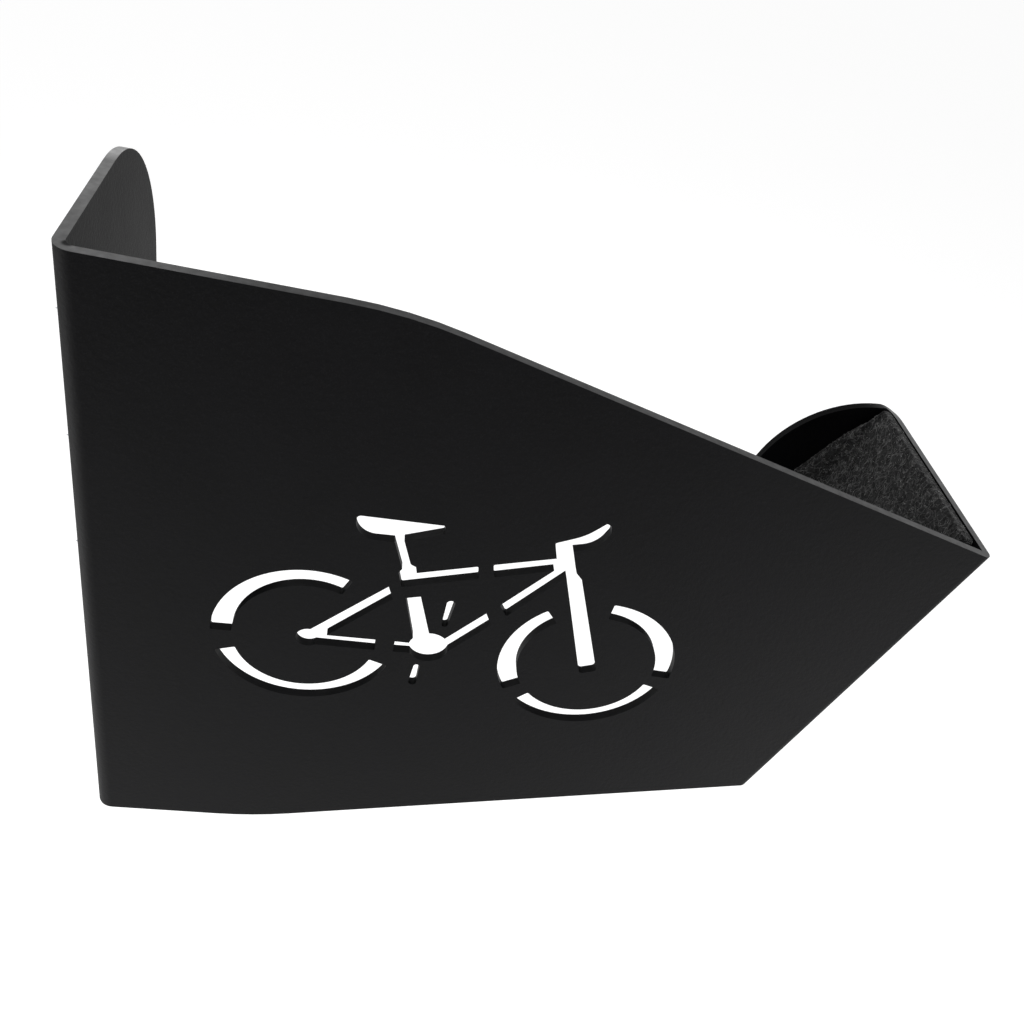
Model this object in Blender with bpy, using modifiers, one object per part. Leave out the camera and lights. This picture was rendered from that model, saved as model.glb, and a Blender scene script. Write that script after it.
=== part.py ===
"""Horizontal wall rack for one bicycle, which hangs by its pedal.

One sheet of steel is laser cut and folded three times: a flange against the wall, an arm
that stands out from it with a bicycle stencil cut through, a front flange square to the
arm, and a lip that closes the pedal pocket. Felt lines the pocket, and three screws with
washers hold the wall flange.

The pieces are drawn in metres with X out from the wall, Y away from the arm's outer face and
Z up from the lower edge. They hang on an empty, which puts the origin in the middle of the
wall flange's back face.
"""

import math

import bmesh
import bpy
from mathutils import Matrix, Vector

# Sheet and folds
SHEET = 0.0035
WALL_FOLD_INNER_RADIUS = 0.0030
FRONT_FOLD_INNER_RADIUS = 0.0006
FOLD_STEPS = 8
CUT_CORNER = 0.0006

# Arm
ARM_HEIGHT = 0.25945
ARM_LENGTH = 0.3223
FRONT_TOP_HEIGHT = 0.1957
FRONT_LEAN = math.radians(15.15)
TOP_LEFT_FALL = math.radians(1.6)
TOP_RIGHT_FALL = math.radians(15.25)
TOP_KINK_RADIUS = 0.150
BOTTOM_KINK_FROM_WALL = 0.0660
BOTTOM_RISE = math.radians(12.9)
BOTTOM_KINK_RADIUS = 0.140

# Wall flange
WALL_FLANGE_WIDTH = 0.1165
WALL_FLANGE_CORNER = 0.0546

# Pedal pocket
POCKET_WIDTH = 0.104
LIP_REACH = 0.0385
LIP_TOP_RADIUS = 0.0491

# Felt lining of the pocket
FELT = 0.0045
FELT_INNER_RADIUS = 0.0040
FELT_FOLD_STEPS = 8
FELT_FROM_ARM = 0.0092
FELT_BELOW_TOP = 0.0006
FELT_DEPTH = 0.0635
FELT_TOP_LENGTH = 0.0852
FELT_BOTTOM_LENGTH = 0.1046
FELT_CORNER = 0.0010

# Bicycle stencil; its points are drawn in stencil units from the rear hub
REAR_HUB = Vector((0.0791, 0.1186))
WHEELBASE = 0.1085
FRONT_HUB_DROP = 0.0004
REAR_RIM_OUTER = 0.0340
REAR_RIM_INNER = 0.0264
FRONT_RIM_OUTER = 0.0347
FRONT_RIM_INNER = 0.0272
FRONT_RIM_AHEAD = Vector((0.0003, -0.0009))
FRONT_RIM_BEHIND = Vector((-0.0002, 0.0001))
DROPOUT_RADIUS = 0.0045
CHAINRING_RADIUS = 0.0077
CRANK_WIDTH = 0.0023
PEDAL_WIDTH = 0.0031
SADDLE_RADIUS = 0.0075
HANDLEBAR_RADIUS = 0.020
GRIP_RADIUS = 0.0020
STEM_RADIUS = 0.010
TUBE_END_RADIUS = 0.0015
STENCIL_UNIT = 0.001

# Wall fixings
SCREW_LENGTH = 0.035
SCREW_DIAMETER = 0.006
SCREW_TIP = 0.006
SCREW_HOLE = 0.0070
SCREW_HEAD_ACROSS_FLATS = 0.010
SCREW_HEAD_HEIGHT = 0.0040
SCREW_FROM_ARM = 0.0945
SCREW_PITCH = 0.060
LOWEST_SCREW = 0.065
SCREW_NAMES = ("lower", "middle", "upper")
WASHER_OUTER = 0.018
WASHER_BORE = 0.0066
WASHER_THICKNESS = 0.0016

SEAT_GAP = 0.0003
ARC_STEP = math.radians(4)
ROUND_STEPS = 32
MERGE = 1e-5

# Sizes that follow from the ones above
WALL_FOLD_OUTER_RADIUS = SHEET + WALL_FOLD_INNER_RADIUS
WALL_FOLD_LENGTH = (WALL_FOLD_INNER_RADIUS + SHEET / 2) * math.pi / 2
FRONT_FOLD_OUTER_RADIUS = SHEET + FRONT_FOLD_INNER_RADIUS
FRONT_FOLD_LENGTH = (FRONT_FOLD_INNER_RADIUS + SHEET / 2) * math.pi / 2
FRONT_CORNER = Vector((ARM_LENGTH, FRONT_TOP_HEIGHT))
FOLD_UP = Vector((math.sin(FRONT_LEAN), math.cos(FRONT_LEAN)))
FOLD_OUT = Vector((math.cos(FRONT_LEAN), -math.sin(FRONT_LEAN)))
FRONT_FOLD_START = -FRONT_FOLD_OUTER_RADIUS
LIP_FOLD_START = FRONT_FOLD_START + FRONT_FOLD_LENGTH + POCKET_WIDTH - 2 * FRONT_FOLD_OUTER_RADIUS
TONGUE_END = LIP_FOLD_START + FRONT_FOLD_LENGTH + LIP_REACH - FRONT_FOLD_OUTER_RADIUS


def clear_scene():
    for old in list(bpy.data.objects):
        bpy.data.objects.remove(old, do_unlink=True)


def collection(name):
    made = bpy.data.collections.new(name)
    bpy.context.scene.collection.children.link(made)
    return made


def material(name, colour, metallic, roughness):
    made = bpy.data.materials.new(name)
    made.use_nodes = True
    shader = made.node_tree.nodes["Principled BSDF"]
    shader.inputs["Base Color"].default_value = (*colour, 1.0)
    shader.inputs["Metallic"].default_value = metallic
    shader.inputs["Roughness"].default_value = roughness
    return made


def add_object(name, mesh, group, finish):
    made = bpy.data.objects.new(name, mesh)
    group.objects.link(made)
    mesh.materials.clear()
    mesh.materials.append(finish)
    mesh.shade_smooth()
    mesh.set_sharp_from_angle(angle=math.radians(30))
    return made


# Flat outlines, drawn in X and Z

def direction(angle):
    return Vector((math.cos(angle), math.sin(angle)))


def crossing(point_a, along_a, point_b, along_b):
    """Where two lines meet, each given by a point and a direction."""
    offset = point_b - point_a
    share = (offset.x * along_b.y - offset.y * along_b.x) / (along_a.x * along_b.y - along_a.y * along_b.x)
    return point_a + share * along_a


def arc(centre, radius, start, end):
    """Points on an arc, both ends included, angles in radians."""
    steps = max(2, math.ceil(abs(end - start) / ARC_STEP))
    return [centre + radius * direction(start + (end - start) * i / steps) for i in range(steps + 1)]


def rounded(corners):
    """A closed outline from (point, radius) corners, each rounded by an arc."""
    outline = []
    for i, (point, radius) in enumerate(corners):
        before = (corners[i - 1][0] - point).normalized()
        after = (corners[(i + 1) % len(corners)][0] - point).normalized()
        half = before.angle(after) / 2
        if radius == 0:
            outline.append(point)
            continue
        centre = point + (before + after).normalized() * radius / math.sin(half)
        first = point + before * radius / math.tan(half) - centre
        last = point + after * radius / math.tan(half) - centre
        start = math.atan2(first.y, first.x)
        turn = (math.atan2(last.y, last.x) - start + math.pi) % (2 * math.pi) - math.pi
        outline += arc(centre, radius, start, start + turn)
    return outline


def circle(centre, radius):
    return arc(centre, radius, 0, 2 * math.pi)[:-1]


def slot(first, last, first_width, last_width):
    """A straight slot with round ends, which may be of different widths."""
    along = last - first
    heading = math.atan2(along.y, along.x)
    quarter = math.pi / 2
    return (arc(last, last_width / 2, heading - quarter, heading + quarter)
            + arc(first, first_width / 2, heading + quarter, heading + 3 * quarter))


def rim_slot(hub, outer, inner, start, end):
    """A stretch of a wheel rim between two angles in degrees, its four corners softened."""
    start, end = math.radians(start), math.radians(end)
    sides = arc(hub, outer, start, end), arc(hub, inner, end, start)
    corners = [(point, CUT_CORNER if point in (side[0], side[-1]) else 0) for side in sides for point in side]
    return rounded(corners)


def from_hub(across, up):
    return REAR_HUB + Vector((across, up)) * STENCIL_UNIT


def wheel_cuts():
    rear = REAR_HUB, REAR_RIM_OUTER, REAR_RIM_INNER
    front_hub = from_hub(WHEELBASE / STENCIL_UNIT, -FRONT_HUB_DROP / STENCIL_UNIT)
    front = FRONT_RIM_OUTER, FRONT_RIM_INNER
    ahead = front_hub + FRONT_RIM_AHEAD
    behind = front_hub + FRONT_RIM_BEHIND
    return [
        rim_slot(*rear, 64.8, 181),
        rim_slot(*rear, 199.7, 340),
        rim_slot(ahead, *front, -3.6, 87.3),
        rim_slot(behind, *front, 128.8, 212),
        rim_slot(front_hub, *front, 225.4, 343.1),
    ]


def rear_stays_cut():
    hub = from_hub(1.2, 0.0)
    eye = arc(hub, DROPOUT_RADIUS, math.radians(83.5), math.radians(311.5))
    lower_stay = [from_hub(26.2, -3.4), from_hub(26.1, 2.3), from_hub(7.9, 2.1)]
    upper_stay = [from_hub(29.3, 24.5), from_hub(27.1, 30.3)]
    return eye + lower_stay + upper_stay


def chainring_cut():
    axle = from_hub(46.0, 0.9)
    below = arc(axle, CHAINRING_RADIUS, math.radians(-9), math.radians(-149.5))
    chain_stay = [from_hub(33.1, -3.2), from_hub(33.1, 2.4)]
    behind = arc(axle, CHAINRING_RADIUS, math.radians(169), math.radians(147))
    seat_tube = [from_hub(33.9, 25.6), from_hub(39.1, 27.1)]
    above = arc(axle, CHAINRING_RADIUS, math.radians(97), math.radians(46))
    down_tube = [from_hub(64.2, 22.1), from_hub(67.1, 16.3)]
    return below + chain_stay + behind + seat_tube + above + down_tube


def crank_cuts():
    return [
        slot(from_hub(50.0, 14.1), from_hub(50.5, 25.0), CRANK_WIDTH, PEDAL_WIDTH),
        slot(from_hub(43.2, -10.4), from_hub(42.9, -19.5), CRANK_WIDTH, PEDAL_WIDTH),
    ]


def saddle_cut():
    return rounded([
        (from_hub(12.4, 61.6), TUBE_END_RADIUS),
        (from_hub(42.3, 61.6), CUT_CORNER),
        (from_hub(42.5, 57.9), CUT_CORNER),
        (from_hub(29.5, 52.6), 0),
        (from_hub(33.2, 42.2), TUBE_END_RADIUS),
        (from_hub(35.2, 41.2), 0),
        (from_hub(35.9, 38.4), 0),
        (from_hub(56.9, 44.8), CUT_CORNER),
        (from_hub(58.0, 39.1), CUT_CORNER),
        (from_hub(31.6, 30.8), CUT_CORNER),
        (from_hub(29.6, 37.7), 0),
        (from_hub(30.6, 39.6), 0),
        (from_hub(26.3, 51.7), 0),
        (from_hub(12.3, 51.4), SADDLE_RADIUS),
    ])


def fork_cut():
    return rounded([
        (from_hub(62.0, 46.4), CUT_CORNER),
        (from_hub(83.4, 52.8), 0),
        (from_hub(81.2, 59.8), CUT_CORNER),
        (from_hub(90.9, 64.7), HANDLEBAR_RADIUS),
        (from_hub(96.8, 71.3), CUT_CORNER),
        (from_hub(98.6, 70.4), CUT_CORNER),
        (from_hub(99.4, 67.1), GRIP_RADIUS),
        (from_hub(96.4, 59.4), STEM_RADIUS),
        (from_hub(88.4, 57.1), 0),
        (from_hub(92.1, 47.1), 0),
        (from_hub(94.9, 44.1), CUT_CORNER),
        (from_hub(113.3, -3.1), TUBE_END_RADIUS),
        (from_hub(107.0, -5.6), TUBE_END_RADIUS),
        (from_hub(89.0, 44.7), 0),
        (from_hub(71.7, 21.7), CUT_CORNER),
        (from_hub(68.3, 26.9), CUT_CORNER),
        (from_hub(83.9, 47.0), 0),
        (from_hub(63.3, 40.5), CUT_CORNER),
    ])


def stencil():
    """The cut-outs of the bicycle figure."""
    return [*wheel_cuts(), rear_stays_cut(), chainring_cut(), *crank_cuts(), saddle_cut(), fork_cut()]


def wall_flange_x(from_arm):
    """Where a point of the wall flange lies on the flat blank, by its distance from the arm's face."""
    return WALL_FOLD_OUTER_RADIUS - WALL_FOLD_LENGTH - (from_arm - WALL_FOLD_OUTER_RADIUS)


def screw_heights():
    return [LOWEST_SCREW + SCREW_PITCH * i for i in range(len(SCREW_NAMES))]


def screw_holes():
    across = wall_flange_x(SCREW_FROM_ARM)
    return [circle(Vector((across, height)), SCREW_HOLE / 2) for height in screw_heights()]


def blank_outline():
    """The flat blank: wall flange, arm and the tapered tongue that makes the front flange and lip."""
    far = wall_flange_x(WALL_FLANGE_WIDTH)
    bottom_kink = Vector((BOTTOM_KINK_FROM_WALL, 0))
    top_left = Vector((WALL_FOLD_OUTER_RADIUS, ARM_HEIGHT))
    bottom_along, top_along = direction(BOTTOM_RISE), direction(-TOP_RIGHT_FALL)
    top_left_along = direction(-TOP_LEFT_FALL)
    top_kink = crossing(top_left, top_left_along, FRONT_CORNER, top_along)
    far_top = crossing(top_left, top_left_along, Vector((far, 0)), direction(math.pi / 2))
    end = FRONT_CORNER + TONGUE_END * FOLD_OUT
    end_top = crossing(end, FOLD_UP, FRONT_CORNER, top_along)
    end_bottom = crossing(end, FOLD_UP, bottom_kink, bottom_along)
    # The two end radii take up the whole end edge, so the tongue ends full round
    half_top = (-FOLD_UP).angle(-top_along) / 2
    half_bottom = FOLD_UP.angle(-bottom_along) / 2
    left_over = (end_top - end_bottom).length - LIP_TOP_RADIUS / math.tan(half_top)
    bottom_radius = 0.999 * left_over * math.tan(half_bottom)
    return rounded([
        (Vector((far, 0)), WALL_FLANGE_CORNER),
        (bottom_kink, BOTTOM_KINK_RADIUS),
        (end_bottom, bottom_radius),
        (end_top, LIP_TOP_RADIUS),
        (top_kink, TOP_KINK_RADIUS),
        (far_top, WALL_FLANGE_CORNER),
    ])


# Sheet work

def flat_sheet(name, outlines, thickness):
    """A flat sheet from closed outlines, its outer face at Y = 0 and its inner face at Y = thickness."""
    curve = bpy.data.curves.new(name, "CURVE")
    curve.dimensions = "2D"
    curve.fill_mode = "BOTH"
    curve.extrude = thickness / 2
    for outline in outlines:
        spline = curve.splines.new("POLY")
        spline.points.add(len(outline) - 1)
        for control, point in zip(spline.points, outline):
            control.co = (point.x, point.y, 0, 1)
        spline.use_cyclic_u = True
    drawn = bpy.data.objects.new(name, curve)
    bpy.context.scene.collection.objects.link(drawn)
    bpy.context.view_layer.update()
    flat = bpy.data.meshes.new_from_object(drawn.evaluated_get(bpy.context.evaluated_depsgraph_get()))
    bpy.data.objects.remove(drawn, do_unlink=True)
    sheet = bmesh.new()
    sheet.from_mesh(flat)
    bpy.data.meshes.remove(flat)
    bmesh.ops.remove_doubles(sheet, verts=sheet.verts, dist=MERGE)
    upright = Matrix.Translation((0, thickness / 2, 0)) @ Matrix.Rotation(math.pi / 2, 4, "X")
    bmesh.ops.transform(sheet, matrix=upright, verts=sheet.verts)
    bmesh.ops.recalc_face_normals(sheet, faces=sheet.faces)
    return sheet


def fold(sheet, start, outward, inner_radius, thickness, steps):
    """Folds the sheet square towards +Y, past a line through start in the XZ plane.

    outward points across the line, away from the part that stays. The cross-section turns
    about an axis at inner_radius off the face at Y = thickness, and its middle keeps its length.
    """
    origin = Vector((start.x, 0, start.y))
    across = Vector((outward.x, 0, outward.y))
    neutral = inner_radius + thickness / 2
    length = neutral * math.pi / 2
    for i in range(steps + 1):
        bmesh.ops.bisect_plane(
            sheet,
            geom=[*sheet.verts, *sheet.edges, *sheet.faces],
            plane_co=origin + across * length * i / steps,
            plane_no=across,
            dist=MERGE / 10,
        )
    axis_height = thickness + inner_radius
    for vert in sheet.verts:
        past = (vert.co - origin).dot(across)
        if past <= MERGE / 10:
            continue
        turn = min(past, length) / neutral
        rest = max(0.0, past - length)
        radius = axis_height - vert.co.y
        vert.co += across * (radius * math.sin(turn) + rest * math.cos(turn) - past)
        vert.co.y = axis_height - radius * math.cos(turn) + rest * math.sin(turn)


def to_mesh(sheet, name):
    bmesh.ops.triangulate(sheet, faces=sheet.faces)
    mesh = bpy.data.meshes.new(name)
    sheet.to_mesh(mesh)
    sheet.free()
    return mesh


def make_bracket(group, finish):
    sheet = flat_sheet("bracket", [blank_outline(), *stencil(), *screw_holes()], SHEET)
    for start in (LIP_FOLD_START, FRONT_FOLD_START):
        fold(sheet, FRONT_CORNER + start * FOLD_OUT, FOLD_OUT, FRONT_FOLD_INNER_RADIUS, SHEET, FOLD_STEPS)
    fold(sheet, Vector((WALL_FOLD_OUTER_RADIUS, 0)), Vector((-1, 0)), WALL_FOLD_INNER_RADIUS, SHEET, FOLD_STEPS)
    return add_object("bracket", to_mesh(sheet, "bracket"), group, finish)


def make_felt(group, finish):
    """The lining, drawn flat against the front flange, then folded round the corner onto the lip."""
    top, bottom = -FELT_BELOW_TOP, -FELT_DEPTH
    outline = rounded([
        (Vector((FELT_FROM_ARM, bottom)), FELT_CORNER),
        (Vector((FELT_FROM_ARM + FELT_BOTTOM_LENGTH, bottom)), FELT_CORNER),
        (Vector((FELT_FROM_ARM + FELT_TOP_LENGTH, top)), FELT_CORNER),
        (Vector((FELT_FROM_ARM, top)), FELT_CORNER),
    ])
    sheet = flat_sheet("felt_lining", [outline], FELT)
    outer_radius = FELT + FELT_INNER_RADIUS
    fold_start = POCKET_WIDTH - SHEET - SEAT_GAP - outer_radius
    fold(sheet, Vector((fold_start, 0)), Vector((1, 0)), FELT_INNER_RADIUS, FELT, FELT_FOLD_STEPS)
    # Drawn with X along the flange's width, Y into the pocket and Z up the fold line
    into_pocket = Vector((-FOLD_OUT.x, 0, -FOLD_OUT.y))
    seat = Vector((FRONT_CORNER.x, 0, FRONT_CORNER.y)) + into_pocket * (SHEET + SEAT_GAP)
    place = Matrix((Vector((0, 1, 0)), into_pocket, Vector((FOLD_UP.x, 0, FOLD_UP.y)))).transposed().to_4x4()
    bmesh.ops.transform(sheet, matrix=Matrix.Translation(seat) @ place, verts=sheet.verts)
    return add_object("felt_lining", to_mesh(sheet, "felt_lining"), group, finish)


# Fixings, turned about X with their heads towards +X

def turned(name, profile, group, finish):
    """A solid of revolution from (radius, height) points that run from the top down."""
    mesh = bpy.data.meshes.new(name)
    points = [(radius, 0, height) for radius, height in profile]
    closed = profile[0][0] > 0
    edges = [(i, i + 1) for i in range(len(points) - 1)] + ([(len(points) - 1, 0)] if closed else [])
    mesh.from_pydata(points, edges, [])
    made = bpy.data.objects.new(name, mesh)
    group.objects.link(made)
    mesh.materials.append(finish)
    screw = made.modifiers.new("turn", "SCREW")
    screw.steps = ROUND_STEPS
    screw.render_steps = ROUND_STEPS
    screw.use_merge_vertices = True
    screw.merge_threshold = MERGE
    screw.use_smooth_shade = True
    return made


def place_on_wall_flange(piece, off_wall, height):
    piece.location = (off_wall, SCREW_FROM_ARM, height)
    piece.rotation_euler = (0, math.pi / 2, 0)


def make_washer(place, height, group, finish):
    outer, bore, thick = WASHER_OUTER / 2, WASHER_BORE / 2, WASHER_THICKNESS
    washer = turned(f"washer_{place}", [(outer, thick), (outer, 0), (bore, 0), (bore, thick)], group, finish)
    place_on_wall_flange(washer, SHEET + SEAT_GAP, height)
    return washer


def make_screw(place, height, group, cutters, finish):
    """A hexagon wood screw: the shank is turned and the head is joined to it."""
    radius = SCREW_DIAMETER / 2
    sunk = SCREW_HEAD_HEIGHT / 2
    shank_end = SCREW_TIP - SCREW_LENGTH
    profile = [(0, sunk), (radius, sunk), (radius, shank_end), (0, -SCREW_LENGTH)]
    screw = turned(f"screw_{place}", profile, group, finish)
    across_corners = SCREW_HEAD_ACROSS_FLATS / math.cos(math.pi / 6)
    bpy.ops.mesh.primitive_cylinder_add(vertices=6, radius=across_corners / 2, depth=SCREW_HEAD_HEIGHT)
    head = bpy.context.object
    head.name = f"head_{place}"
    head.data.transform(Matrix.Translation((0, 0, SCREW_HEAD_HEIGHT / 2)))
    for owner in list(head.users_collection):
        owner.objects.unlink(head)
    cutters.objects.link(head)
    head.hide_render = True
    head.display_type = "WIRE"
    head.parent = screw
    join = screw.modifiers.new("head", "BOOLEAN")
    join.operation = "UNION"
    join.object = head
    off_wall = SHEET + SEAT_GAP + WASHER_THICKNESS + SEAT_GAP
    place_on_wall_flange(screw, off_wall, height)
    return screw


def add_carrier(group):
    """The empty that carries the pieces and moves the middle of the wall flange to the origin."""
    carrier = bpy.data.objects.new("rack_origin", None)
    carrier.location = (0, -WALL_FLANGE_WIDTH / 2, -ARM_HEIGHT / 2)
    group.objects.link(carrier)
    return carrier


def main():
    clear_scene()
    group = collection("wall_bike_rack")
    cutters = collection("joined_shapes")
    coat = material("black_powder_coat", (0.012, 0.012, 0.013), 0.0, 0.42)
    felt = material("charcoal_felt", (0.030, 0.030, 0.031), 0.0, 0.95)
    zinc = material("zinc_plated_steel", (0.55, 0.56, 0.58), 1.0, 0.38)
    pieces = [make_bracket(group, coat), make_felt(group, felt)]
    for place, height in zip(SCREW_NAMES, screw_heights()):
        pieces.append(make_washer(place, height, group, zinc))
        pieces.append(make_screw(place, height, group, cutters, zinc))
    carrier = add_carrier(group)
    for piece in pieces:
        piece.parent = carrier


main()
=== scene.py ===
"""Looks of a horizontal wall rack that holds a bicycle by its pedal.

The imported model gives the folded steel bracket, the felt lining of its pedal pocket, and the
screws and washers of its wall flange. An operator dresses each of these, another scatters loose
fibres over the felt, and the stage adds floor, light and camera.
"""

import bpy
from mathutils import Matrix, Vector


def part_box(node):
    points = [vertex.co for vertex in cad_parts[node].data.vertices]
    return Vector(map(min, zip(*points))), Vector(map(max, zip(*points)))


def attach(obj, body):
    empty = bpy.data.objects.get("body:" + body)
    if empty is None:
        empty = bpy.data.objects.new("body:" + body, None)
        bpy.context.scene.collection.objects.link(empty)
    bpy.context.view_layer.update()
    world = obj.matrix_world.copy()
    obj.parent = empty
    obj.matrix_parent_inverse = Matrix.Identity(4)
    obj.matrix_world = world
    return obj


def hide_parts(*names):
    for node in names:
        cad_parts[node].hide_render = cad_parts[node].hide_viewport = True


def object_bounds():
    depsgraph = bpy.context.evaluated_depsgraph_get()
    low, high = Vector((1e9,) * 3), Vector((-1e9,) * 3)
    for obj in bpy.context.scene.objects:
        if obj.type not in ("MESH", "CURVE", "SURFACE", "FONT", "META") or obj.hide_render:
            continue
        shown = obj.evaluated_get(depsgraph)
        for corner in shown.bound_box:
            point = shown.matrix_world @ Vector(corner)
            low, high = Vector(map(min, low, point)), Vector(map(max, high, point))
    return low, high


bl_info = {
    "name": "Wall Bike Rack Dressing",
    "version": (1, 0, 0),
    "blender": (4, 5, 0),
    "location": "3D View > Sidebar > Bike Rack",
    "description": "Dresses the powder coated wall rack, its felt lining and its fixings",
    "category": "Object",
}

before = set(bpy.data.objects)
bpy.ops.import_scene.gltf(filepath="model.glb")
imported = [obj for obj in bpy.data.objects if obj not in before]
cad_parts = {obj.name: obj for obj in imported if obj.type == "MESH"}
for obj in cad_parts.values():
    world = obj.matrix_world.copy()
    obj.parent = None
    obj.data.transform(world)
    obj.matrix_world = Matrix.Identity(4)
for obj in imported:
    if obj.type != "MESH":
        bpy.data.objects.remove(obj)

import math
import random

import bmesh
import bpy
from bpy.props import FloatProperty, FloatVectorProperty, IntProperty, PointerProperty
from bpy.types import Operator, Panel, PropertyGroup
from mathutils import Euler, Matrix, Vector, noise
from mathutils.bvhtree import BVHTree

CAD_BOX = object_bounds()
BODY = "root"

# Mesh limits: doubles merge, and an edge counts as flat, rounded or sharp by how far it turns
MERGE = 1e-6
FLAT = math.radians(0.5)
ROUNDED = math.radians(40)
SHARP = math.radians(60)

# The bracket: its creases at the top edge, its stencil, and the lip. Its cut edges get a painted highlight
# and gloss, weaker in the stencil and, on the lip, only where an edge faces outwards or lies on the rim
EDGE_MASK = "edge"
WALL_CREASE = (0.0045, -0.0538, 0.1297)
WALL_CREASE_REACH = 0.0017
FRONT_CREASE = (0.3165, -0.0540, 0.0655)
FRONT_CREASE_REACH = 0.0012
STENCIL_START = 0.03
STENCIL_END = 0.24
STENCIL_TOP = 0.066
STENCIL_BACK = CAD_BOX[0].y + 0.005
STENCIL_SHINE = 0.3
LIP_START = 0.2
LIP_END = 0.33
LIP_INSIDE = 0.040
FACING_OUT = 0.3
RIM_START = 0.308
RIM_FADE = 0.014

# The felt: where the back of its front part faces, its gap to the steel, and the lumps of its nap
FRONT = Vector((0.965, 0, -0.261))
GLUE_GAP = 0.00028
COARSE_LUMP = 0.0026
COARSE_SHARE = 0.3
FINE_LUMP = 0.0010
FINE_SHARE = 0.7
FINE_SHIFT = Vector((9, 2, 5))
NAP_SINK = 0.6

# The loose fibres: shares of the mean length and thickness, turns at a knot, and lifts in radii
FIBRE_SEED = 7
FIBRE_SPANS = 4
FIBRE_LENGTHS = (0.5, 1.6)
FIBRE_THICKNESSES = (0.6, 1.3)
FIBRE_END = 0.25
FIBRE_CURLS = (-1.0, 1.0)
FIBRE_WOBBLES = (-0.35, 0.35)
FIBRE_SEAT = 0.2
FIBRE_ARCH = 1.6
FIBRE_ARCH_SPREAD = 2.5

# The screws: shares of the width across the head's flats
SCREW_SIDES = 48
HEAD_HEIGHT = 0.40
SHANK_RADIUS = 0.30
CHAMFER_RADIUS = 0.47
SEAT_RADIUS = 0.49
CHAMFER_SLOPE = math.radians(30)

# Lengths along them, from the head's seat, from the plain shank's end and at the tip
SEAT_STEP = 0.0002
RUN_OUT = 0.0015
THREAD_START = 0.001
TIP_LENGTH = 0.006
POINT_RADIUS = 0.0001

# Shares of the core's radius, of the thread's pitch and of the tip
WAIST_RADIUS = 0.62
WAIST_HEIGHT = 0.35
THREAD_ROOT = 0.9
CREST_PLACE = 0.22
THREAD_WIDTH = 0.42
LEAST_RISE = 0.02
LEAST_TIP = 0.04
TIP_CURVE = 0.8
STEPS_PER_TURN = 20

# The stage: the floor's glow and paler clouds, and each softbox's place from the rack and width
FLOOR_GLOW = (0.30, 0.30, 0.30)
FLOOR_CLOUD = (0.86, 0.86, 0.86)
SOFTBOXES = {
    "back": ((-0.75, 1.6, 0.55), 0.8),
    "front": ((0.25, -1.0, 1.9), 1.2),
    "low": ((0.55, -0.5, -0.45), 0.8),
    "left": ((-0.2, -0.55, -0.6), 1.0),
    "side": ((-0.9, -0.2, -0.5), 0.7),
}


# Sizes and colours

class BracketSettings(PropertyGroup):
    edge_radius: FloatProperty(
        name="Edge radius", description="Rounding of the cut edges on the rack's outer side",
        default=0.00028, min=0.0001, max=0.001, unit="LENGTH", precision=5)
    inner_radius: FloatProperty(
        name="Inner edge radius", description="Rounding of the cut edges on the rack's inner side",
        default=0.00060, min=0.0001, max=0.001, unit="LENGTH", precision=5)
    edge_segments: IntProperty(
        name="Edge segments", description="Facets across each rounding", default=3, min=1, max=6)
    coat_colour: FloatVectorProperty(
        name="Coat", description="Black of the powder coat",
        default=(0.0012, 0.0012, 0.0014), size=3, min=0, max=1, subtype="COLOR")
    coat_pale: FloatVectorProperty(
        name="Coat, paler patches", description="Black of the coat where it lies thicker",
        default=(0.0019, 0.0019, 0.0022), size=3, min=0, max=1, subtype="COLOR")
    # The colour of the coat's paler grains, and of the painted highlight along the cut edges
    grain_and_edge_highlight_colour: FloatVectorProperty(
        name="Cut edges", description="Coat on its grains and where it is thin over the cut edges",
        default=(0.010, 0.010, 0.011), size=3, min=0, max=1, subtype="COLOR")
    edge_gloss: FloatProperty(
        name="Edge gloss", description="Gloss of the coat where it flows round a cut edge",
        default=0.68, min=0, max=1, subtype="FACTOR")
    coat_roughness: FloatProperty(
        name="Roughness", description="Mean roughness of the satin coat", default=0.52, min=0, max=1)
    coat_reflection: FloatProperty(
        name="Reflection", description="How much the coat reflects", default=0.035, min=0, max=1)
    texture_height: FloatProperty(
        name="Texture height", description="Height of the coat's fine texture",
        default=0.00016, min=0, max=0.0005, unit="LENGTH", precision=6)


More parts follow.
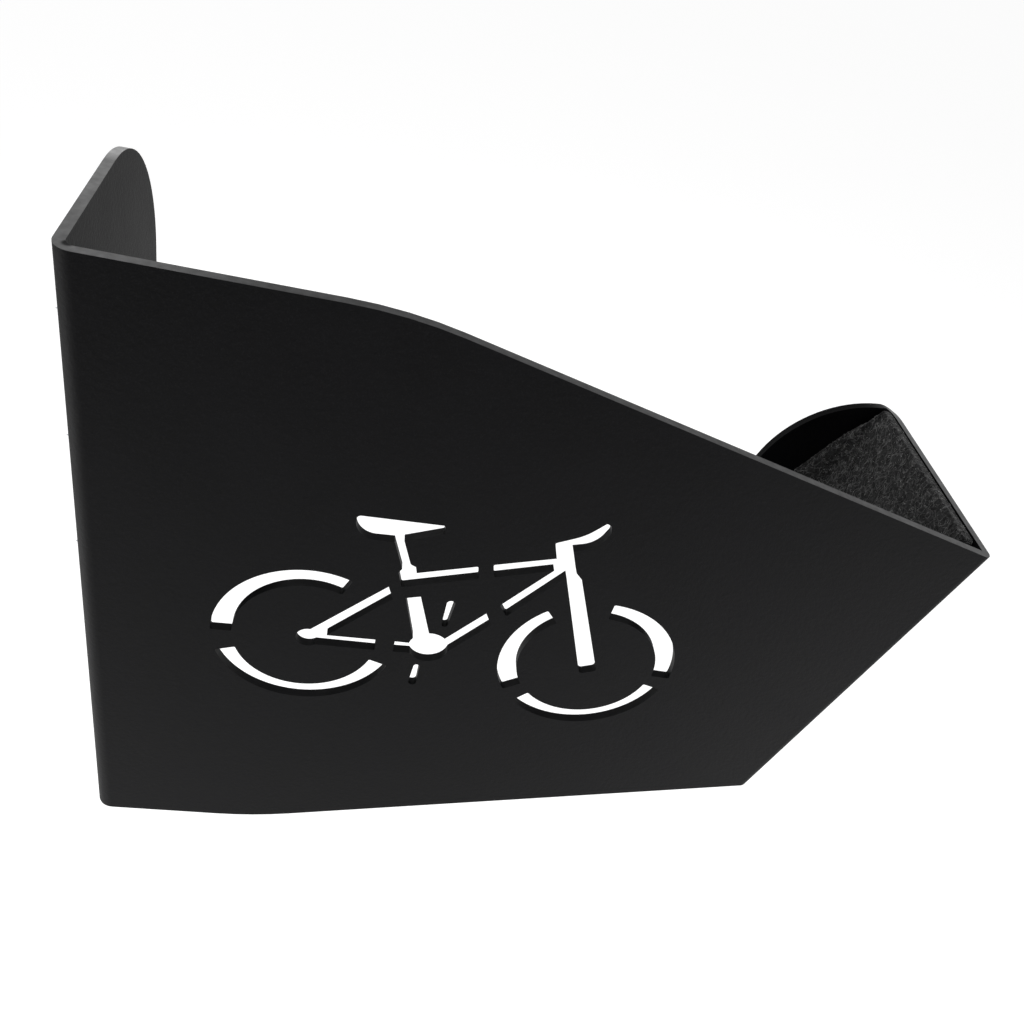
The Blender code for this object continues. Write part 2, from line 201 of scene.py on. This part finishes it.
class FeltSettings(PropertyGroup):
    grid: FloatProperty(
        name="Grid", description="Size of the mesh that carries the felt's surface",
        default=0.0005, min=0.0003, max=0.002, unit="LENGTH", precision=5)
    nap_height: FloatProperty(
        name="Nap height", description="How far the matted surface rises and falls",
        default=0.00035, min=0, max=0.001, unit="LENGTH", precision=5)
    colour: FloatVectorProperty(
        name="Felt", description="Grey of the felt's ground",
        default=(0.0175, 0.0175, 0.018), size=3, min=0, max=1, subtype="COLOR")
    # Painted shade of the felt's hollows, also the dark end of the loose fibres' tones
    dark: FloatVectorProperty(
        name="Felt, hollows", description="Grey between the fibres",
        default=(0.0010, 0.0010, 0.0011), size=3, min=0, max=1, subtype="COLOR")
    # Pale fibres, bright enough to stand in for the light on them: partly fibre tone, partly painted
    # highlight
    fibre_colour: FloatVectorProperty(
        name="Pale fibres", description="Grey of the pale fibres",
        default=(0.19, 0.19, 0.187), size=3, min=0, max=1, subtype="COLOR")
    # Painted glints: a few spots on the loose fibres in bright grey
    glint_colour: FloatVectorProperty(
        name="Bright flecks", description="Grey of the few brightest places on the loose fibres",
        default=(0.55, 0.55, 0.54), size=3, min=0, max=1, subtype="COLOR")
    fibre_count: IntProperty(
        name="Fibres", description="Loose fibres on the surface", default=4800, min=0, max=9000)
    fibre_length: FloatProperty(
        name="Fibre length", description="Mean length of a loose fibre",
        default=0.0024, min=0.001, max=0.01, unit="LENGTH", precision=4)
    fibre_radius: FloatProperty(
        name="Fibre radius", description="Half the thickness of a loose fibre",
        default=0.00007, min=0.00002, max=0.0003, unit="LENGTH", precision=5)


class FixingSettings(PropertyGroup):
    colour: FloatVectorProperty(
        name="Zinc", description="Colour of the zinc plating",
        default=(0.58, 0.59, 0.61), size=3, min=0, max=1, subtype="COLOR")
    roughness: FloatProperty(
        name="Roughness", description="Mean roughness of the plating", default=0.36, min=0, max=1)
    core_share: FloatProperty(
        name="Core", description="Core diameter of the thread as a share of the shank",
        default=0.70, min=0.5, max=0.95, subtype="FACTOR")
    thread_pitch: FloatProperty(
        name="Thread pitch", description="Rise of the thread in one turn",
        default=0.0026, min=0.001, max=0.005, unit="LENGTH", precision=4)
    plain_length: FloatProperty(
        name="Plain shank", description="Length of shank without thread under the head",
        default=0.009, min=0, max=0.02, unit="LENGTH", precision=4)
    edge_radius: FloatProperty(
        name="Edge radius", description="Rounding of the washers' edges",
        default=0.00025, min=0, max=0.0006, unit="LENGTH", precision=5)


class StageSettings(PropertyGroup):
    camera_place: FloatVectorProperty(
        name="Camera", description="Where the camera stands", size=3,
        default=(0.08204, -0.30825, 0.26175), subtype="TRANSLATION", unit="LENGTH", precision=5)
    camera_heading: FloatProperty(
        name="Heading", description="Turn of the camera from +Y towards +X",
        default=math.radians(13.548), subtype="ANGLE")
    camera_tilt: FloatProperty(
        name="Tilt", description="How far the camera looks down",
        default=math.radians(38.096), subtype="ANGLE")
    camera_roll: FloatProperty(
        name="Roll", description="Turn of the camera about its line of sight",
        default=math.radians(15.64), subtype="ANGLE")
    lens: FloatProperty(
        name="Lens", description="Focal length on a 36 mm sensor in millimetres",
        default=34.12, min=10, max=200)
    floor_drop: FloatProperty(
        name="Floor drop", description="Height of the rack above the floor",
        default=0.60, min=0, max=3, unit="LENGTH")
    floor_size: FloatProperty(
        name="Floor size", description="Width of the floor", default=40, min=1, max=100, unit="LENGTH")
    floor_colour: FloatVectorProperty(
        name="Floor", description="Colour of the floor",
        default=(0.90, 0.90, 0.90), size=3, min=0, max=1, subtype="COLOR")
    sky_strength: FloatProperty(
        name="Surround", description="Strength of the white surround", default=0.74, min=0, max=2)
    back_power: FloatProperty(
        name="Back light", description="Power of the softbox behind the arm",
        default=4, min=0, max=500, unit="POWER")
    front_power: FloatProperty(
        name="Front light", description="Power of the softbox above and before the arm",
        default=12, min=0, max=500, unit="POWER")
    low_power: FloatProperty(
        name="Low light", description="Power of the softbox low before the pocket",
        default=4.6, min=0, max=500, unit="POWER")
    left_power: FloatProperty(
        name="Left light", description="Power of the softbox low before the wall flange",
        default=6.0, min=0, max=500, unit="POWER")
    side_power: FloatProperty(
        name="Side light", description="Power of the softbox low on the wall's side",
        default=6.0, min=0, max=500, unit="POWER")


def settings(group):
    return getattr(bpy.context.scene, f"rack_{group}")


# Shader recipes

class Signal:
    """A shader socket that adds Math nodes when it is used in arithmetic."""

    def __init__(self, recipe, socket):
        self.recipe = recipe
        self.socket = socket

    def maths(self, operation, *values):
        return self.recipe.node("ShaderNodeMath", {"operation": operation}, dict(enumerate(values)))

    def __add__(self, other):
        return self.maths("ADD", self, other)

    def __radd__(self, other):
        return self.maths("ADD", other, self)

    def __sub__(self, other):
        return self.maths("SUBTRACT", self, other)

    def __rsub__(self, other):
        return self.maths("SUBTRACT", other, self)

    def __mul__(self, other):
        return self.maths("MULTIPLY", self, other)

    def __rmul__(self, other):
        return self.maths("MULTIPLY", other, self)

    def __abs__(self):
        return self.maths("ABSOLUTE", self)

    def between(self, low, high):
        """0 below low, 1 above high, and smooth between them."""
        return self.recipe.node(
            "ShaderNodeMapRange", {"interpolation_type": "SMOOTHSTEP"},
            {"Value": self, "From Min": low, "From Max": high})

    def swing(self, amount):
        """A noise made into a change that goes as far below 0 as above it."""
        return (self - 0.5) * amount


class Recipe:
    """One material's node tree around a Principled shader."""

    def __init__(self, name):
        self.material = bpy.data.materials.new(name)
        self.material.use_nodes = True
        self.tree = self.material.node_tree
        self.shader = self.tree.nodes["Principled BSDF"]
        self.place = self.node("ShaderNodeTexCoord", output="Object")

    def put(self, sockets, key, value):
        if isinstance(value, Signal):
            self.tree.links.new(value.socket, sockets[key])
        else:
            sockets[key].default_value = value

    def node(self, kind, options=None, inputs=None, output=0):
        """Adds a node: its options first, then its sockets' values or links."""
        made = self.tree.nodes.new(kind)
        for name, value in (options or {}).items():
            setattr(made, name, value)
        for key, value in (inputs or {}).items():
            self.put(made.inputs, key, value)
        return Signal(self, made.outputs[output])

    def noise(self, size, detail=2.0, roughness=0.5, place=None):
        """Noise between 0 and 1 whose lumps are about size across."""
        return self.node(
            "ShaderNodeTexNoise", {"normalize": True},
            {"Vector": place or self.place, "Scale": 1 / size, "Detail": detail, "Roughness": roughness})

    def winding_lines(self, size, width, place):
        """1 along lines that wind through a noise, and 0 from a width of its values on."""
        return 1 - abs(self.noise(size, detail=0, place=place) - 0.5).between(0.0, width)

    def warped(self, size, amount):
        """The object's coordinates, pushed to and fro in lumps of a size."""
        push = self.node(
            "ShaderNodeTexNoise", inputs={"Vector": self.place, "Scale": 1 / size}, output="Color")
        return self.node(
            "ShaderNodeVectorMath", {"operation": "MULTIPLY_ADD"},
            {0: push, 1: (amount, amount, amount), 2: self.place})

    def away_from(self, point, reach):
        """0 at a point and 1 beyond a reach."""
        far = self.node(
            "ShaderNodeVectorMath", {"operation": "DISTANCE"}, {0: self.place, 1: point}, output="Value")
        return far.between(reach * 0.6, reach * 1.3)

    def mix(self, factor, first, second):
        """A blend of two colours."""
        made = self.node("ShaderNodeMix", {"data_type": "RGBA"}, {0: factor}, output=2)
        sockets = made.socket.node.inputs
        for key, colour in ((6, first), (7, second)):
            self.put(sockets, key, colour if isinstance(colour, Signal) else (*colour, 1))
        return made

    def bump(self, height, distance):
        return self.node("ShaderNodeBump", inputs={"Height": height, "Distance": distance})

    def finish(self, **values):
        """Sets or links the shader's sockets, their names written with underscores."""
        for name, value in values.items():
            self.put(self.shader.inputs, name.replace("_", " "), value)
        return self.material


def powder_coat():
    """Satin black powder coat: cloudy patches, a fine grain, and glossier cut edges with a painted highlight.
    """
    look = settings("bracket")
    recipe = Recipe("black_powder_coat")
    cloud = recipe.noise(0.035, detail=3)
    peel = recipe.noise(0.0016, detail=2)
    grain = recipe.noise(0.00045, detail=2)
    edge = recipe.node("ShaderNodeAttribute", {"attribute_name": EDGE_MASK}, output="Fac")
    flow = 0.55 + recipe.noise(0.003, detail=3) * 0.9
    creased = (recipe.away_from(WALL_CREASE, WALL_CREASE_REACH)
               * recipe.away_from(FRONT_CREASE, FRONT_CREASE_REACH))
    # Painted highlight: the cut edges turn paler in patches, by the edge mask
    painted_edge_highlight = edge * recipe.noise(0.006, detail=4).between(0.25, 0.7)
    speckle = grain.between(0.50, 0.75) * 0.30
    tone = recipe.mix(cloud.between(0.3, 0.7), look.coat_colour, look.coat_pale)
    tone = recipe.mix(speckle, tone, look.grain_and_edge_highlight_colour)
    tone = recipe.mix(painted_edge_highlight, tone, look.grain_and_edge_highlight_colour)
    return recipe.finish(
        Base_Color=tone,
        Roughness=look.coat_roughness + cloud.swing(0.10) + grain.swing(0.16) + edge * 0.04,
        Specular_IOR_Level=look.coat_reflection,
        Coat_Weight=edge * edge * look.edge_gloss * flow * creased,
        Coat_Roughness=0.30,
        Normal=recipe.bump(peel * 0.7 + grain * 0.3, look.texture_height))


def felt_cloth():
    """Needled felt: a matted ground of strands over hollows darkened with painted shade, with paler curls on
    it.
    """
    look = settings("felt")
    recipe = Recipe("charcoal_felt")
    warp = recipe.warped(0.0022, 0.0010)
    strands = recipe.noise(0.0009, detail=3, roughness=0.65, place=warp)
    clump = recipe.noise(0.0025, detail=2, place=warp)
    curls = recipe.winding_lines(0.0033, 0.055, warp) + recipe.winding_lines(0.0048, 0.040, warp)
    patchy = strands.between(0.35, 0.60) * clump.between(0.30, 0.60)
    # The dark of the hollows is painted shade, laid out by noise
    ground = recipe.mix((strands * 0.7 + clump * 0.3).between(0.40, 0.60), look.dark, look.colour)
    return recipe.finish(
        # Paler curls: partly fibre tone, partly painted highlight on lit strands
        Base_Color=recipe.mix(curls * patchy * 0.34, ground, look.fibre_colour),
        Roughness=0.9 + strands.swing(0.1),
        Specular_IOR_Level=0.10,
        Sheen_Weight=0.15,
        Sheen_Roughness=0.5,
        Normal=recipe.bump(strands * 0.5 + curls * 0.5, 0.0004))


def felt_fibre():
    """Loose fibres, dark in places and pale in others, with a few painted glints."""
    look = settings("felt")
    recipe = Recipe("felt_fibre")
    shade = recipe.noise(0.0025, detail=2, roughness=0.7).between(0.42, 0.62)
    fleck = recipe.noise(0.0008, detail=1)
    tone = recipe.mix(shade * (0.5 + fleck), look.dark, look.fibre_colour)
    return recipe.finish(
        # Painted glints: bright spots on a few places of the fibres
        Base_Color=recipe.mix(fleck.between(0.66, 0.72), tone, look.glint_colour),
        Roughness=0.75 + fleck.swing(0.1),
        Specular_IOR_Level=0.2)


def zinc_plate():
    """Bright zinc plating with a cloudy bloom and fine drawing marks."""
    look = settings("fixings")
    recipe = Recipe("zinc_plated_steel")
    cloud = recipe.noise(0.004, detail=3)
    marks = recipe.node("ShaderNodeMapping", inputs={0: recipe.place, "Scale": (1, 1, 9)})
    scratch = recipe.noise(0.0012, detail=3, place=marks)
    bloom = tuple(0.62 * part for part in look.colour)
    return recipe.finish(
        Base_Color=recipe.mix(cloud.between(0.35, 0.75), look.colour, bloom),
        Metallic=1.0,
        Roughness=look.roughness + cloud.swing(0.25) + scratch.swing(0.12),
        Normal=recipe.bump(scratch, 0.00003))


def floor_paint(look):
    """A pale, dull floor that shows white to the camera and in reflections, and keeps its shadows."""
    recipe = Recipe("pale_floor")
    camera_sees = recipe.node("ShaderNodeLightPath", output="Is Camera Ray")
    rays = camera_sees.socket.node.outputs
    seen = (camera_sees + Signal(recipe, rays["Is Glossy Ray"])
            + Signal(recipe, rays["Is Transmission Ray"]))
    cloud = recipe.noise(0.8, detail=1)
    return recipe.finish(
        Base_Color=recipe.mix(cloud * 0.1, look.floor_colour, FLOOR_CLOUD),
        Roughness=0.9,
        Specular_IOR_Level=0.0,
        Emission_Color=recipe.mix(seen.between(0, 1), (0, 0, 0), FLOOR_GLOW),
        Emission_Strength=1.0)


# Mesh helpers

def nodes_like(start):
    """The CAD nodes whose names start alike, in order."""
    return sorted(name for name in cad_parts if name.startswith(start))


def merged(node):
    """A CAD node's mesh, merged and with its flat faces whole."""
    work = bmesh.new()
    work.from_mesh(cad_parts[node].data)
    bmesh.ops.remove_doubles(work, verts=work.verts, dist=MERGE)
    bmesh.ops.dissolve_limit(work, angle_limit=FLAT, verts=work.verts, edges=work.edges)
    return work


def as_mesh(name, work, material):
    """A finished bmesh's mesh, in its material."""
    mesh = bpy.data.meshes.new(name)
    work.to_mesh(mesh)
    work.free()
    mesh.materials.append(material)
    return mesh


def in_scene(name, data):
    """A new object in the scene, with a mesh, a lamp or a camera as its data."""
    made = bpy.data.objects.new(name, data)
    bpy.context.scene.collection.objects.link(made)
    return made


def add_piece(name, work, material, slot, *stands_for):
    """Turns a bmesh into a finished piece that rides on the rack."""
    piece = in_scene(name, as_mesh(name, work, material))
    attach(piece, BODY)
    if stands_for:
        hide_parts(*stands_for)
    return piece


def smooth(piece):
    """Smooth shading in which wide flat faces keep their own direction."""
    piece.data.shade_smooth()
    piece.data.set_sharp_from_angle(angle=ROUNDED)
    weighted = piece.modifiers.new("even_shading", "WEIGHTED_NORMAL")
    weighted.keep_sharp = True
    weighted.weight = 80


def sides_and_cuts(work):
    """The faces of the sheet's two sides, each of which runs on round the folds, and those of its cuts."""
    left = set(work.faces)
    regions = []
    while left:
        grow = [left.pop()]
        region = set(grow)
        while grow:
            for edge in grow.pop().edges:
                for other in edge.link_faces:
                    if other in left and edge.calc_face_angle() < SHARP:
                        left.discard(other)
                        region.add(other)
                        grow.append(other)
        regions.append(region)
    regions.sort(key=lambda region: -sum(face.calc_area() for face in region))
    return regions[0], regions[1], set().union(*regions[2:])


def sharp_edges(work, beside=None):
    """The edges where the surface turns sharply, of the whole piece or beside the given faces."""
    sharp = [edge for edge in work.edges if edge.calc_face_angle() > SHARP]
    return [edge for edge in sharp if beside is None or not beside.isdisjoint(edge.link_faces)]


def round_edges(work, edges, radius, segments=3):
    """Rounds edges and gives back the new faces."""
    return bmesh.ops.bevel(
        work, geom=edges, affect="EDGES", offset_type="OFFSET", offset=radius,
        segments=segments, profile=0.5, material=-1, clamp_overlap=True)["faces"]


def towards(value, turn):
    """A radius or height as it is in one direction, whether the same all round or not."""
    return value(turn) if callable(value) else value


# Pieces

class RACK_OT_bracket(Operator):
    """Dress the folded bracket: round its cut edges and coat it"""
    bl_idname = "rack.bracket"
    bl_label = "Bracket"

    def execute(self, context):
        look = settings("bracket")
        work = merged("bracket")
        # The edge mask carries the painted highlight and the gloss of the cut edges
        mask = work.loops.layers.float.new(EDGE_MASK)
        one, other, cuts = sides_and_cuts(work)
        inner = max(one, other, key=lambda side: max(side, key=bmesh.types.BMFace.calc_area).normal.y)
        self.mark(cuts, mask)
        self.mark(round_edges(work, sharp_edges(work, inner), look.inner_radius, look.edge_segments), mask)
        self.mark(round_edges(work, sharp_edges(work), look.edge_radius, look.edge_segments), mask)
        smooth(add_piece("steel_bracket", work, powder_coat(), "black_powder_coat", "bracket"))
        return {"FINISHED"}

    def mark(self, faces, mask):
        for face in faces:
            for corner in face.loops:
                corner[mask] = self.shine(corner.vert.co, face.normal)

    def shine(self, place, normal):
        """How much painted highlight and gloss a cut edge gets: less in the bicycle's cut-outs, and on the
        lip mostly along its rim.
        """
        x, y, z = place
        if STENCIL_START < x < STENCIL_END and abs(z) < STENCIL_TOP and y < STENCIL_BACK:
            return STENCIL_SHINE
        if LIP_START < x < LIP_END and y > LIP_INSIDE and normal.y <= FACING_OUT:
            return min(max((x - RIM_START) / RIM_FADE, 0.0), 1.0)
        return 1.0


class RACK_OT_felt(Operator):
    """Dress the felt lining: a matted surface with uneven cut edges, its back against the steel"""
    bl_idname = "rack.felt"
    bl_label = "Felt lining"

    def execute(self, context):
        look = settings("felt")
        felt = add_piece("felt_pad", merged("felt_lining"), felt_cloth(), "charcoal_felt", "felt_lining")
        remesh = felt.modifiers.new("grid", "REMESH")
        remesh.mode = "VOXEL"
        remesh.voxel_size = look.grid
        relax = felt.modifiers.new("relax", "SMOOTH")
        relax.iterations = 2
        work = bmesh.new()
        work.from_mesh(felt.evaluated_get(context.evaluated_depsgraph_get()).data)
        felt.modifiers.clear()
        for vert in work.verts:
            coarse = noise.noise(vert.co / COARSE_LUMP) * COARSE_SHARE
            fine = noise.noise(vert.co / FINE_LUMP + FINE_SHIFT) * FINE_SHARE
            rise = look.nap_height * (coarse + fine - NAP_SINK)
            glued = Vector((max(0, vert.normal.dot(FRONT)), max(0, vert.normal.y))).length
            vert.co += vert.normal * (rise * (1 - glued) + GLUE_GAP * glued)
        work.to_mesh(felt.data)
        work.free()
        felt.data.shade_smooth()
        return {"FINISHED"}


class RACK_OT_fibres(Operator):
    """Scatter loose fibres over the felt lining"""
    bl_idname = "rack.fibres"
    bl_label = "Felt fibres"

    def execute(self, context):
        look = settings("felt")
        draw = random.Random(FIBRE_SEED)
        felt = bpy.data.objects["felt_pad"].data
        tree = BVHTree.FromPolygons([v.co for v in felt.vertices], [p.vertices for p in felt.polygons])
        strands = bpy.data.curves.new("felt_strands", "CURVE")
        strands.dimensions = "3D"
        strands.bevel_depth = look.fibre_radius
        strands.bevel_resolution = 0
        strands.use_fill_caps = True
        for _ in range(look.fibre_count):
            self.lay_fibre(strands.splines.new("POLY"), felt.polygons, tree, draw, look)
        holder = bpy.data.objects.new("felt_strands", strands)
        work = bmesh.new()
        work.from_mesh(holder.to_mesh())
        bpy.data.objects.remove(holder)
        fibres = add_piece("felt_fibres", work, felt_fibre(), "charcoal_felt")
        fibres.data.shade_smooth()
        return {"FINISHED"}

    def lay_fibre(self, fibre, faces, tree, draw, look):
        """A fibre that starts on some face and curls along the felt, thicker and lifted in its middle."""
        start = faces[draw.randrange(len(faces))]
        heading = start.normal.orthogonal().normalized()
        heading.rotate(Matrix.Rotation(draw.uniform(0, math.tau), 3, start.normal))
        step = look.fibre_length * draw.uniform(*FIBRE_LENGTHS) / FIBRE_SPANS
        curl = draw.uniform(*FIBRE_CURLS)
        thick = draw.uniform(*FIBRE_THICKNESSES)
        point = start.center
        fibre.points.add(FIBRE_SPANS)
        for i, knot in enumerate(fibre.points):
            arch = math.sin(i * math.pi / FIBRE_SPANS)
            near, normal, _face, _far = tree.find_nearest(point)
            lift = FIBRE_SEAT + (FIBRE_ARCH + FIBRE_ARCH_SPREAD * draw.random()) * arch
            knot.co = (*(near + normal * look.fibre_radius * lift), 1)
            knot.radius = thick * (FIBRE_END + (1 - FIBRE_END) * arch)
            heading.rotate(Matrix.Rotation(curl + draw.uniform(*FIBRE_WOBBLES), 3, normal))
            heading = (heading - normal * heading.dot(normal)).normalized()
            point = near + heading * step


class RACK_OT_washers(Operator):
    """Dress the three washers: turned rings with rolled edges"""
    bl_idname = "rack.washers"
    bl_label = "Washers"

    def execute(self, context):
        look = settings("fixings")
        material = zinc_plate()
        for node in nodes_like("washer_"):
            name = node.replace("washer", "round_washer")
            work = merged(node)
            round_edges(work, sharp_edges(work), look.edge_radius)
            smooth(add_piece(name, work, material, "zinc_plated_steel", node))
        return {"FINISHED"}


class RACK_OT_screws(Operator):
    """Dress the three screws: chamfered hexagon heads and a wood screw thread"""
    bl_idname = "rack.screws"
    bl_label = "Screws"

    def execute(self, context):
        material = bpy.data.materials["zinc_plated_steel"]
        for node in nodes_like("screw_"):
            name = node.replace("screw", "wood_screw")
            low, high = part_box(node)
            work = self.make_screw(low, high)
            smooth(add_piece(name, work, material, "zinc_plated_steel", node))
        return {"FINISHED"}

    def make_screw(self, low, high):
        """Built along +Z with the head's seat at 0, then turned towards +X on its CAD place."""
        look = settings("fixings")
        across_flats = min(high.y - low.y, high.z - low.z)
        head = HEAD_HEIGHT * across_flats
        shank = SHANK_RADIUS * across_flats
        chamfer = CHAMFER_RADIUS * across_flats
        core = shank * look.core_share
        length = high.x - low.x - head

        def hexagon(turn):
            return across_flats / 2 / math.cos((turn + math.pi / 6) % (math.pi / 3) - math.pi / 6)

        def chamfer_foot(turn):
            return head - (hexagon(turn) - chamfer) * math.tan(CHAMFER_SLOPE)

        work = bmesh.new()
        top = bmesh.ops.create_circle(work, segments=SCREW_SIDES, radius=chamfer)["verts"]
        for vert in top:
            vert.co.z = head
        bmesh.ops.contextual_create(work, geom=top)
        edges = [edge for edge in work.edges if edge.is_boundary]
        for radius, height in (
            (hexagon, chamfer_foot), (hexagon, SEAT_STEP), (SEAT_RADIUS * across_flats, 0),
            (shank, 0), (shank, -look.plain_length), (core, -look.plain_length - RUN_OUT),
            (core, TIP_LENGTH - length), (core * WAIST_RADIUS, TIP_LENGTH * WAIST_HEIGHT - length),
            (POINT_RADIUS, -length),
        ):
            grown = bmesh.ops.extrude_edge_only(work, edges=edges)["geom"]
            edges = [part for part in grown if isinstance(part, bmesh.types.BMEdge)]
            for vert in (part for part in grown if isinstance(part, bmesh.types.BMVert)):
                turn = math.atan2(vert.co.y, vert.co.x)
                size = towards(radius, turn)
                vert.co = (size * math.cos(turn), size * math.sin(turn), towards(height, turn))
        bmesh.ops.contextual_create(work, geom=edges)
        self.add_thread(work, core, shank, length)
        bmesh.ops.recalc_face_normals(work, faces=work.faces)
        seat = Vector((low.x + length, (low.y + high.y) / 2, (low.z + high.z) / 2))
        turned = Matrix.Translation(seat) @ Matrix.Rotation(math.pi / 2, 4, "Y")
        bmesh.ops.transform(work, matrix=turned, verts=work.verts)
        return work

    def add_thread(self, work, core, shank, length):
        """A ridge wound round the core, which rises out of it and shrinks again towards the point."""
        look = settings("fixings")
        pitch = look.thread_pitch
        start = -look.plain_length - THREAD_START
        turns = math.floor((length - look.plain_length - RUN_OUT) / pitch)
        steps = STEPS_PER_TURN * turns
        root = core * THREAD_ROOT
        screw = set(work.verts)
        profile = [
            work.verts.new((root, 0, start)),
            work.verts.new((shank, 0, start - pitch * CREST_PLACE)),
            work.verts.new((root, 0, start - pitch * THREAD_WIDTH)),
        ]
        face = work.faces.new(profile)
        bmesh.ops.spin(
            work, geom=[face, *face.edges, *profile], cent=(0, 0, 0), axis=(0, 0, 1),
            dvec=(0, 0, -pitch * turns / steps), angle=math.tau * turns, steps=steps, use_duplicate=False)
        for vert in set(work.verts) - screw:
            reach = math.hypot(vert.co.x, vert.co.y)
            from_point = (vert.co.z + length) / TIP_LENGTH
            rise = min(1.0, (start - vert.co.z) / pitch + LEAST_RISE)
            if from_point < 1:
                size = reach * max(LEAST_TIP, from_point) ** TIP_CURVE
            else:
                size = root + (reach - root) * rise
            vert.co.x *= size / reach
            vert.co.y *= size / reach


# Stage

class RACK_OT_stage(Operator):
    """Add the pale floor, the soft light and the camera"""
    bl_idname = "rack.stage"
    bl_label = "Stage"

    def execute(self, context):
        look = settings("stage")
        middle = (CAD_BOX[0] + CAD_BOX[1]) / 2
        self.add_floor(look)
        self.add_surround(context, look)
        for name, (offset, size) in SOFTBOXES.items():
            power = getattr(look, f"{name}_power")
            self.add_softbox(f"{name}_softbox", middle + Vector(offset), middle, size, power)
        self.add_camera(context, look)
        return {"FINISHED"}

    def add_floor(self, look):
        work = bmesh.new()
        bmesh.ops.create_grid(work, x_segments=1, y_segments=1, size=look.floor_size / 2)
        bmesh.ops.translate(work, vec=(0, 0, CAD_BOX[0].z - look.floor_drop), verts=work.verts)
        floor = in_scene("floor", as_mesh("floor", work, floor_paint(look)))

    def add_surround(self, context, look):
        world = bpy.data.worlds.new("white_surround")
        world.use_nodes = True
        context.scene.world = world
        background = world.node_tree.nodes["Background"]
        background.inputs["Color"].default_value = (1, 1, 1, 1)
        background.inputs["Strength"].default_value = look.sky_strength

    def add_softbox(self, name, place, target, size, power):
        lamp = bpy.data.lights.new(name, "AREA")
        lamp.size = size
        lamp.energy = power
        softbox = in_scene(name, lamp)
        softbox.location = place
        softbox.rotation_mode = "QUATERNION"
        softbox.rotation_quaternion = (target - place).to_track_quat("-Z", "Y")

    def add_camera(self, context, look):
        lens = bpy.data.cameras.new("camera")
        lens.lens = look.lens
        lens.sensor_width = 36
        lens.clip_start = 0.01
        camera = in_scene("camera", lens)
        turned = Euler((math.pi / 2 - look.camera_tilt, 0, -look.camera_heading)).to_matrix()
        roll = Matrix.Rotation(look.camera_roll, 3, "Z")
        camera.matrix_world = Matrix.Translation(look.camera_place) @ (turned @ roll).to_4x4()
        context.scene.camera = camera
        context.scene.view_settings.view_transform = "Standard"


# Panel and registration

OPERATORS = (RACK_OT_bracket, RACK_OT_felt, RACK_OT_fibres, RACK_OT_washers, RACK_OT_screws, RACK_OT_stage)
GROUPS = {
    "bracket": BracketSettings,
    "felt": FeltSettings,
    "fixings": FixingSettings,
    "stage": StageSettings,
}


class RACK_PT_panel(Panel):
    """Sizes, colours and steps of the rack"""
    bl_label = "Bike Rack"
    bl_idname = "RACK_PT_panel"
    bl_space_type = "VIEW_3D"
    bl_region_type = "UI"
    bl_category = "Bike Rack"

    def draw(self, context):
        for name, group in GROUPS.items():
            box = self.layout.box()
            box.label(text=name.capitalize())
            for key in group.__annotations__:
                box.prop(settings(name), key)
        for operator in OPERATORS:
            self.layout.operator(operator.bl_idname)


CLASSES = (*GROUPS.values(), *OPERATORS, RACK_PT_panel)


def register():
    for made in CLASSES:
        bpy.utils.register_class(made)
    for name, group in GROUPS.items():
        setattr(bpy.types.Scene, f"rack_{name}", PointerProperty(type=group))


def unregister():
    for name in GROUPS:
        delattr(bpy.types.Scene, f"rack_{name}")
    for made in reversed(CLASSES):
        bpy.utils.unregister_class(made)


def main():
    register()
    bpy.ops.rack.bracket()
    bpy.ops.rack.felt()
    bpy.ops.rack.fibres()
    bpy.ops.rack.washers()
    bpy.ops.rack.screws()
    bpy.ops.rack.stage()


if __name__ == "__main__":
    main()
